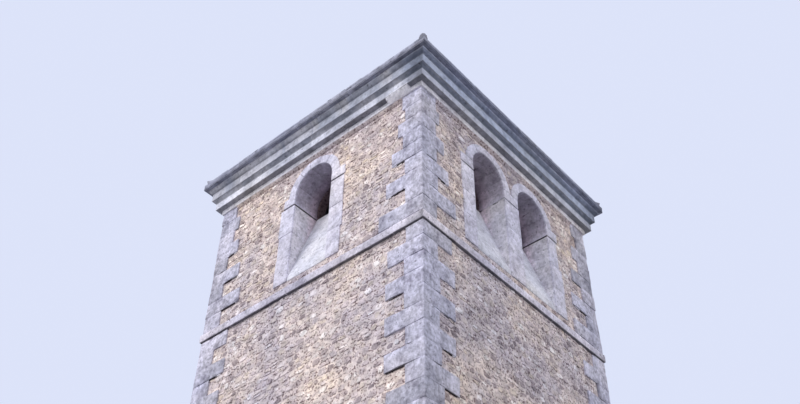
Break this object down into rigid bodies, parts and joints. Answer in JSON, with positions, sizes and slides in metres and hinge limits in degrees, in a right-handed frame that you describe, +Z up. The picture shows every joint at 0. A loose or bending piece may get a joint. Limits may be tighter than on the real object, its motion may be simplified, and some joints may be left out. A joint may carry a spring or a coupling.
{
  "type": "church bell tower",
  "caption": "Square rubble-stone bell tower of a parish church with dressed corner stones, a string course, round-arched belfry openings, a moulded cornice and a low slab roof.",
  "frame": {"origin": "centre of the tower's plan at ground level", "axes": "+Z up; the front with the doorway faces -Y; the pictured corner stands at +X, -Y"},
  "size_m": [6.216, 6.216, 17.7786],
  "materials": {
    "dressed_stone": "weathered pale grey limestone blocks with a lavender cast, tooled and stained",
    "rubble_stone": "random rubble of cream, ochre and grey limestone in worn lime mortar",
    "cornice_stone": "weathered grey limestone mouldings with dark streaks",
    "roof_stone": "rough grey stone slabs laid to courses",
    "floor_stone": "worn limestone flags",
    "floor_timber": "old sawn oak, dry and grey brown"
  },
  "bodies": {
    "root": {"apex_cap_stone": "roof_stone", "back_left_quoins": "dressed_stone", "back_right_quoins": "dressed_stone", "back_wall": "rubble_stone", "belfry_floor_beams": "floor_timber", "belfry_floor_boards": "floor_timber", "belfry_wall_back": "rubble_stone", "belfry_wall_front": "rubble_stone", "belfry_wall_left": "rubble_stone", "belfry_wall_right": "rubble_stone", "cornice_bed_course": "cornice_stone", "cornice_cavetto_course": "cornice_stone", "cornice_corona_course": "cornice_stone", "doorway_surround": "dressed_stone", "doorway_threshold": "floor_stone", "eave_slabs": "roof_stone", "front_left_quoins": "dressed_stone", "front_right_quoins": "dressed_stone", "front_wall_left_of_door": "rubble_stone", "front_wall_over_door": "rubble_stone", "front_wall_right_of_door": "rubble_stone", "ground_floor": "floor_stone", "hip_caps": "roof_stone", "left_wall": "rubble_stone", "opening_sill_back": "dressed_stone", "opening_sill_front": "dressed_stone", "opening_sill_left": "dressed_stone", "opening_sill_right": "dressed_stone", "opening_surround_back": "dressed_stone", "opening_surround_front": "dressed_stone", "opening_surround_left": "dressed_stone", "opening_surround_right": "dressed_stone", "plinth": "dressed_stone", "right_wall": "rubble_stone", "roof_slope_back": "roof_stone", "roof_slope_front": "roof_stone", "roof_slope_left": "roof_stone", "roof_slope_right": "roof_stone", "string_course_back": "dressed_stone", "string_course_front": "dressed_stone", "string_course_left": "dressed_stone", "string_course_right": "dressed_stone"}
  },
  "joints": []
}
